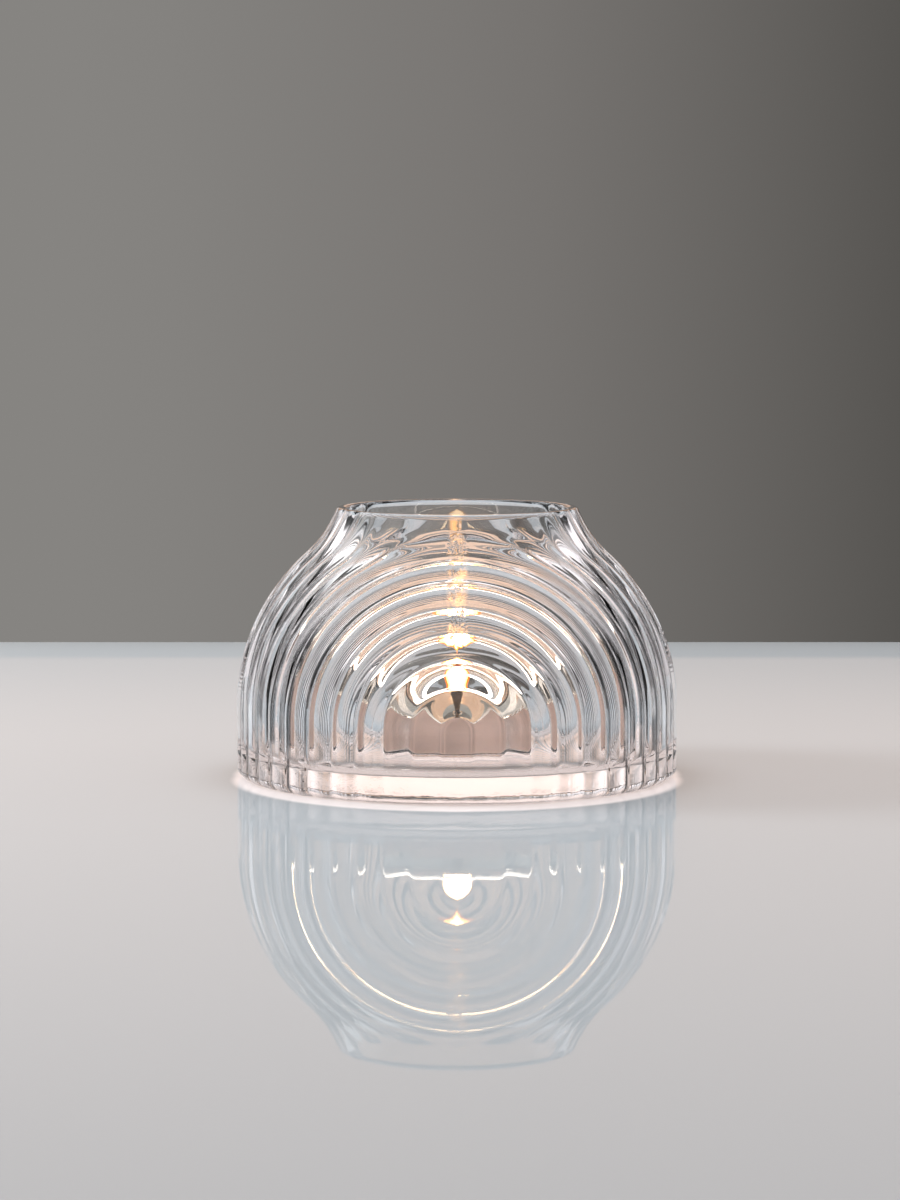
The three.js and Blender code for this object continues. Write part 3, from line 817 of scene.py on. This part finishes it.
class TEALIGHT_OT_wick(bpy.types.Operator):
    """Make the wick and the sustainer that holds it"""

    bl_idname = "tealight.wick"
    bl_label = "Wick and Sustainer"

    def execute(self, context):
        colours = context.scene.tealight_colours
        radius, low, high = WICK_HIGH.x, WICK_LOW.z, WICK_HIGH.z
        rings = 12
        # The burnt tip is rounded: shares of the radius, and how far each is under the top
        tip = ((0.92, 0.5 * MM), (0.6, 0.12 * MM), (0, 0))
        outline = [(0, low), (radius, low)]
        outline += [(radius, low + (high - low) * i / rings) for i in range(1, rings - 1)]
        outline += [(radius * share, high - under) for share, under in tip]
        wick = turned("braided_wick", outline, WICK_SIDES)
        finish_piece(wick, braided_cotton(colours, WAX_HIGH.z, high))
        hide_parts("wick")
        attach(wick, "tealight")
        sheet, edge, bead, flare = 0.3 * MM, 0.15 * MM, 0.1 * MM, 0.6 * MM
        slack, tube_wall = 0.1 * MM, 0.35 * MM
        disc, base, top = SUSTAINER_HIGH.x, SUSTAINER_LOW.z, SUSTAINER_HIGH.z
        bead_radius = disc * 0.7
        bore, neck = radius + slack, radius + slack + tube_wall
        outline = [(bore, base), (disc - edge, base), (disc, base + edge), (disc - edge, base + sheet)]
        outline += [(bead_radius, base + sheet + bead), (neck + flare, base + sheet)]
        outline += arc(neck + flare, base + sheet + flare, flare, -90, -180, SMALL_CORNER_STEPS)
        outline += [(neck, top - bead), (neck - bead, top), (bore, top), (bore, base)]
        sustainer = turned("wick_sustainer_plate", outline, CUP_SIDES // 2)
        finish_piece(sustainer, pressed_tin_plate(colours))
        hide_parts("wick_sustainer")
        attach(sustainer, "tealight")
        return {"FINISHED"}


def flame_outline(low, height, width):
    """Outline of a teardrop of burning gas: round at the wick, widest at its belly, drawn out to a tip."""
    belly, drawn_out = 0.36, 1.3
    outline = [(0, low)]
    for i in range(1, FLAME_STEPS):
        up = i / FLAME_STEPS
        if up < belly:
            share = math.sin(QUARTER_TURN * (up / belly))
        else:
            share = math.sin(QUARTER_TURN * ((1 - up) / (1 - belly))) ** drawn_out
        outline.append((width / 2 * share, low + height * up))
    outline.append((0, low + height))
    return outline


class TEALIGHT_OT_flame(bpy.types.Operator):
    """Make the flame: a white-hot core in an amber envelope"""

    bl_idname = "tealight.flame"
    bl_label = "Flame"

    def execute(self, context):
        sizes = context.scene.tealight_light
        root, nesting = 3.6 * MM, 0.15
        low = WICK_HIGH.z - root
        height, width = sizes.flame_height, sizes.flame_width
        # Name, gas, shares of the width and height, colours from the wick up, strength where it is seen,
        # strength at which it lights, and how much it covers
        parts = (
            ("flame_envelope", "amber_gas", 1.0, 1.0,
             [(0.0, "#3a55ff"), (0.1, "#ff7d24"), (1.0, "#ff9432")], 2.2, 2.0, 0.4),
            ("flame_body", "yellow_gas", 0.82, 0.93,
             [(0.0, "#ff9a3c"), (0.2, "#ffc56a"), (1.0, "#ffb04a")], 12.0, 5.0, 0.75),
            ("flame_core", "white_hot_gas", 0.62, 0.86,
             [(0.0, "#ffd9a0"), (0.3, "#fff3dc"), (1.0, "#ffe6b0")], 60.0, 8.0, 1.0))
        for name, gas, wide, tall, stops, seen, lights, cover in parts:
            part_low = low + height * (1 - tall) * nesting
            part = turned(name, flame_outline(part_low, height * tall, width * wide), FLAME_SIDES)
            shine = burning_gas(gas, stops, part_low, part_low + height * tall, seen, lights, cover)
            finish_piece(part, shine, sharp_degrees=80)
            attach(part, "tealight")
        return {"FINISHED"}


def make_world():
    """The room. The camera sees a grey wall all round. Glass and gloss see a wall with pale sides, over it
    two pale screens with warm grey between them, and a ceiling with pale sides. The rest is lit by white."""
    wall_top, screens_top = (4, 7), (20, 26)
    plain_light = 0.44
    world = bpy.data.worlds.new("studio")
    bpy.context.scene.world = world
    world.use_nodes = True
    tree = world.node_tree
    tree.nodes.clear()
    ray = add(tree, "ShaderNodeLightPath")
    direction = add(tree, "ShaderNodeTexCoord").outputs["Generated"]
    along = add(tree, "ShaderNodeSeparateXYZ", {"Vector": direction})
    values = work_out(tree, {}, (
        ("rise", "ARCSINE", along.outputs["Z"], 0.0),
        ("turn", "ARCTAN2", along.outputs["X"], along.outputs["Y"]),
        ("over_wall", "EASED", "rise", tuple(math.radians(degrees) for degrees in wall_top)),
        ("over_screens", "EASED", "rise", tuple(math.radians(degrees) for degrees in screens_top)),
        ("seen", "MAXIMUM", ray.outputs["Is Camera Ray"], ray.outputs["Is Glossy Ray"]),
        ("seen", "MAXIMUM", "seen", ray.outputs["Is Transmission Ray"])))
    round_share = add(tree, "ShaderNodeMapRange", {
        "Value": values["turn"], "From Min": -HALF_TURN, "From Max": HALF_TURN})
    # Each tone is at its degrees to the right of straight behind the bowl
    wall = (
        (-75, "#807c79"), (-65, "#f6f0f2"), (-20, "#f0eaec"), (-12, "#a8a5a3"), (-5, "#868481"),
        (1, "#787572"), (8, "#4e4c49"), (14, "#5a5755"), (24, "#d4ced0"), (65, "#dcd6d8"), (75, "#807c79"))
    screens = (
        (-47, UNLIT), (-43, "#faf4f6"), (-30, "#faf4f6"), (-22, "#c9aa96"),
        (22, "#c3a490"), (30, "#e2dcde"), (43, "#e2dcde"), (47, UNLIT))
    ceiling = (
        (-80, "#4a4846"), (-75, "#ffffff"), (-30, "#ffffff"), (-22, "#a4948a"),
        (22, "#a4948a"), (30, "#f0eaec"), (75, "#f0eaec"), (80, "#4a4846"))
    backdrop = ((-90, "#8f8b88"), (-5, "#868481"), (1, "#787572"), (8, "#4e4c49"), (90, "#8f8b88"))
    # Each set of tones has a strength, and a share by which it takes the place of those before it
    room = None
    for tones, strength, share in (
            (wall, 1.0, None), (screens, 1.9, values["over_wall"]), (ceiling, 1.4, values["over_screens"]),
            (backdrop, 1.0, ray.outputs["Is Camera Ray"])):
        ramp = add(tree, "ShaderNodeValToRGB", {"Fac": round_share})
        fill_ramp(ramp, [((degrees + 180) / 360, colour) for degrees, colour in tones])
        band = add(tree, "ShaderNodeVectorMath", {0: ramp, "Scale": strength}, operation="SCALE")
        if share:
            band = add(tree, "ShaderNodeMix", {0: share, COLOUR_A: room, COLOUR_B: band}, data_type="RGBA")
        room = band
    plain = add(tree, "ShaderNodeBackground", {"Color": srgb("#ffffff"), "Strength": plain_light})
    picture = add(tree, "ShaderNodeBackground", {"Color": room, "Strength": 1.0})
    either = add(tree, "ShaderNodeMixShader", {"Fac": values["seen"], 1: plain, 2: picture})
    add(tree, "ShaderNodeOutputWorld", {"Surface": either})


def make_floor(colours):
    """A pale floor, flat as far as its back edge, then rolled down out of sight."""
    flat_back, far_back, front, half_width = 0.264, 0.7, -0.75, 0.75
    roll_radius = 1.0
    roll_steps = 16
    floor = new_piece("pale_floor", bpy.ops.mesh.primitive_plane_add, size=2 * half_width)
    for corner in floor.data.vertices:
        corner.co.y = flat_back if corner.co.y > 0 else front
    pick(floor, lambda place: place.y > 0)
    back = flat_back
    for i in range(1, roll_steps + 1):
        next_back = flat_back + (far_back - flat_back) * i / roll_steps
        drop = ((next_back - flat_back) ** 2 - (back - flat_back) ** 2) / (2 * roll_radius)
        bpy.ops.mesh.extrude_region_move(TRANSFORM_OT_translate={"value": (0, next_back - back, -drop)})
        back = next_back
    bpy.ops.object.mode_set(mode="OBJECT")
    finish_piece(floor, polished_pale_floor(colours))


def make_lamps():
    """Soft lamps overhead and at both sides. The glass shows the room and not the lamps."""
    for name, place, size, power in (
            ("lamp_overhead", (0, 0.1, 0.9), (0.9, 0.6), 6.0),
            ("lamp_left", (-0.9, 0.1, 0.35), (0.35, 0.5), 8.0),
            ("lamp_right", (0.9, 0.1, 0.35), (0.35, 0.5), 0.5)):
        bpy.ops.object.select_all(action="DESELECT")
        towards = Vector((0, 0, BOWL_HIGH.z / 2)) - Vector(place)
        turned_to_bowl = towards.to_track_quat("-Z", "Y").to_euler()
        bpy.ops.object.light_add(type="AREA", location=place, rotation=turned_to_bowl)
        lamp = bpy.context.object
        lamp.name = name
        lamp.data.shape = "RECTANGLE"
        lamp.data.size, lamp.data.size_y = size
        lamp.data.energy = power
        lamp.visible_glossy = False
        lamp.visible_transmission = False


def make_camera(scene):
    """The photograph's camera, a little higher than the bowl and tipped down at it."""
    place, tilt = (-0.00175, -0.9485, 0.133), 5.37
    focal_length, sensor = 114.57, 36.0
    bpy.ops.object.select_all(action="DESELECT")
    bpy.ops.object.camera_add(location=place, rotation=(math.radians(90 - tilt), 0, 0))
    camera = bpy.context.object
    camera.name = "photograph_camera"
    camera.data.sensor_fit = "AUTO"
    camera.data.sensor_width = sensor
    camera.data.lens = focal_length
    scene.camera = camera


class TEALIGHT_OT_stage(bpy.types.Operator):
    """Set up the floor, the room, the lamps and the camera"""

    bl_idname = "tealight.stage"
    bl_label = "Stage"

    def execute(self, context):
        scene = context.scene
        make_floor(scene.tealight_colours)
        make_world()
        make_lamps()
        make_camera(scene)
        scene.view_settings.view_transform = "Standard"
        scene.cycles.max_bounces = 24
        scene.cycles.transmission_bounces = 24
        scene.cycles.transparent_max_bounces = 16
        scene.cycles.sample_clamp_indirect = 0
        return {"FINISHED"}


class TEALIGHT_PT_panel(bpy.types.Panel):
    """Lists the pieces of the tealight holder with their sizes."""

    bl_label = "Tealight Holder"
    bl_idname = "TEALIGHT_PT_panel"
    bl_space_type = "VIEW_3D"
    bl_region_type = "UI"
    bl_category = "Tealight"

    def draw(self, context):
        scene = context.scene
        for group in (scene.tealight_bowl, scene.tealight_light, scene.tealight_colours):
            box = self.layout.box()
            for name in group.__annotations__:
                box.prop(group, name)
        for operator in OPERATORS:
            self.layout.operator(operator.bl_idname)


GROUPS = (BowlSizes, TealightSizes, Colours)
OPERATORS = (
    TEALIGHT_OT_bowl, TEALIGHT_OT_cup, TEALIGHT_OT_wax,
    TEALIGHT_OT_wick, TEALIGHT_OT_flame, TEALIGHT_OT_stage)


def register():
    for item in GROUPS + OPERATORS + (TEALIGHT_PT_panel,):
        bpy.utils.register_class(item)
    bpy.types.Scene.tealight_bowl = bpy.props.PointerProperty(type=BowlSizes)
    bpy.types.Scene.tealight_light = bpy.props.PointerProperty(type=TealightSizes)
    bpy.types.Scene.tealight_colours = bpy.props.PointerProperty(type=Colours)


def unregister():
    del bpy.types.Scene.tealight_bowl
    del bpy.types.Scene.tealight_light
    del bpy.types.Scene.tealight_colours
    for item in reversed(GROUPS + OPERATORS + (TEALIGHT_PT_panel,)):
        bpy.utils.unregister_class(item)


def main():
    register()
    bpy.ops.tealight.bowl()
    bpy.ops.tealight.cup()
    bpy.ops.tealight.wax()
    bpy.ops.tealight.wick()
    bpy.ops.tealight.flame()
    bpy.ops.tealight.stage()


if __name__ == "__main__":
    main()
